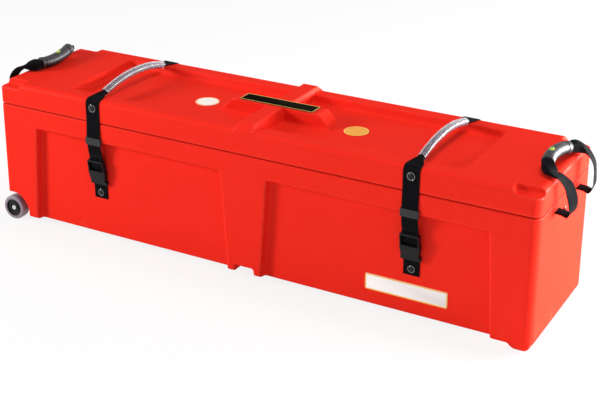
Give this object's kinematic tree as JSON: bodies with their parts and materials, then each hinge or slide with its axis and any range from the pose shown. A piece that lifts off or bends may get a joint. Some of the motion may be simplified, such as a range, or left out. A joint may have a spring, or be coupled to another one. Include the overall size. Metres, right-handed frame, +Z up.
{
  "type": "drum hardware case",
  "caption": "Long moulded drum hardware case with a hinged lid, buckled webbing straps, tube grips over the lid, end carrying handles and transport wheels.",
  "frame": {"origin": "middle of the bounding box, on the ground that the wheels and the feet stand on", "axes": "+X along the case, away from the wheels; -Y the side with the buckles; +Z up"},
  "size_m": [1.3803, 0.3268, 0.3778],
  "materials": {
    "red_shell": "satin moulded polyethylene",
    "webbing": "woven webbing",
    "buckle_grey": "moulded nylon",
    "nickel": "dark nickel plate",
    "bright_steel": "zinc plate",
    "tyre_grey": "translucent grey",
    "hub_black": "moulded nylon",
    "clear_tube": "clear vinyl over rolled webbing",
    "grip_rubber": "ribbed soft rubber",
    "plate_black": "printed plate, bare",
    "badge_white": "printed label, bare",
    "badge_amber": "printed label, bare",
    "label_white": "printed label, bare"
  },
  "bodies": {
    "base": {"case_base": "red_shell", "wheel_axle_front": "bright_steel", "axle_nut_front": "nickel", "wheel_axle_back": "bright_steel", "axle_nut_back": "nickel", "front_label": "label_white", "hinge_strap_left": "webbing", "tab_anchor_left": "webbing", "handle_stub_front_left": "webbing", "handle_stub_back_left": "webbing", "rivet_hinge_left": "nickel", "rivet_tab_left": "nickel", "rivet_handle_front_left": "nickel", "rivet_handle_back_left": "nickel", "handle_plate_left": "nickel", "hinge_strap_right": "webbing", "tab_anchor_right": "webbing", "handle_stub_front_right": "webbing", "handle_stub_back_right": "webbing", "rivet_hinge_right": "nickel", "rivet_tab_right": "nickel", "rivet_handle_front_right": "nickel", "rivet_handle_back_right": "nickel", "handle_plate_right": "nickel"},
    "wheel_front": {"tyre_front": "tyre_grey", "wheel_hub_front": "hub_black"},
    "wheel_back": {"tyre_back": "tyre_grey", "wheel_hub_back": "hub_black"},
    "lid": {"lid": "red_shell", "name_plate": "plate_black", "badge_left": "badge_white", "badge_right": "badge_amber", "lid_strap_left": "webbing", "strap_grip_left": "clear_tube", "rivet_lid_front_left": "nickel", "rivet_lid_back_left": "nickel", "lid_strap_right": "webbing", "strap_grip_right": "clear_tube", "rivet_lid_front_right": "nickel", "rivet_lid_back_right": "nickel"},
    "strap_left": {"latch_strap_left": "webbing", "strap_keeper_left": "buckle_grey", "buckle_receiver_left": "buckle_grey"},
    "tab_left": {"latch_tab_left": "webbing", "buckle_tongue_left": "buckle_grey"},
    "handle_left": {"handle_strap_left": "webbing", "handle_grip_left": "grip_rubber"},
    "strap_right": {"latch_strap_right": "webbing", "strap_keeper_right": "buckle_grey", "buckle_receiver_right": "buckle_grey"},
    "tab_right": {"latch_tab_right": "webbing", "buckle_tongue_right": "buckle_grey"},
    "handle_right": {"handle_strap_right": "webbing", "handle_grip_right": "grip_rubber"}
  },
  "joints": [
    {"name": "lid_hinge", "type": "hinge", "parent": "base", "child": "lid", "pos_m": [0, 0.15855, 0.29], "axis": [-1, 0, 0], "range_deg": [0, 160], "deforming": ["hinge_strap_left", "hinge_strap_right", "handle_strap_left", "handle_strap_right", "handle_grip_left", "handle_grip_right"]},
    {"name": "wheel_front_spin", "type": "hinge", "parent": "base", "child": "wheel_front", "pos_m": [-0.632, -0.14495, 0.029], "axis": [0, 1, 0], "continuous": true},
    {"name": "wheel_back_spin", "type": "hinge", "parent": "base", "child": "wheel_back", "pos_m": [-0.632, 0.14605, 0.029], "axis": [0, 1, 0], "continuous": true},
    {"name": "strap_left_swing", "type": "hinge", "parent": "lid", "child": "strap_left", "pos_m": [-0.383, -0.15855, 0.294], "axis": [-1, 0, 0], "range_deg": [0, 120]},
    {"name": "tab_left_swing", "type": "hinge", "parent": "base", "child": "tab_left", "pos_m": [-0.383, -0.14055, 0.1275], "axis": [1, 0, 0], "range_deg": [0, 60]},
    {"name": "strap_right_swing", "type": "hinge", "parent": "lid", "child": "strap_right", "pos_m": [0.383, -0.15855, 0.294], "axis": [-1, 0, 0], "range_deg": [0, 120]},
    {"name": "tab_right_swing", "type": "hinge", "parent": "base", "child": "tab_right", "pos_m": [0.383, -0.14055, 0.1275], "axis": [1, 0, 0], "range_deg": [0, 60]},
    {"name": "handle_left_swing", "type": "hinge", "parent": "base", "child": "handle_left", "pos_m": [-0.67, 0.00055, 0.265], "axis": [0, -1, 0], "range_deg": [0, 200]},
    {"name": "handle_right_swing", "type": "hinge", "parent": "base", "child": "handle_right", "pos_m": [0.67, 0.00055, 0.265], "axis": [0, 1, 0], "range_deg": [0, 200]}
  ],
  "couplings": [
    {"joint": "tab_left_swing", "follows": "strap_left_swing", "ratio": 0.5},
    {"joint": "tab_right_swing", "follows": "strap_right_swing", "ratio": 0.5}
  ]
}
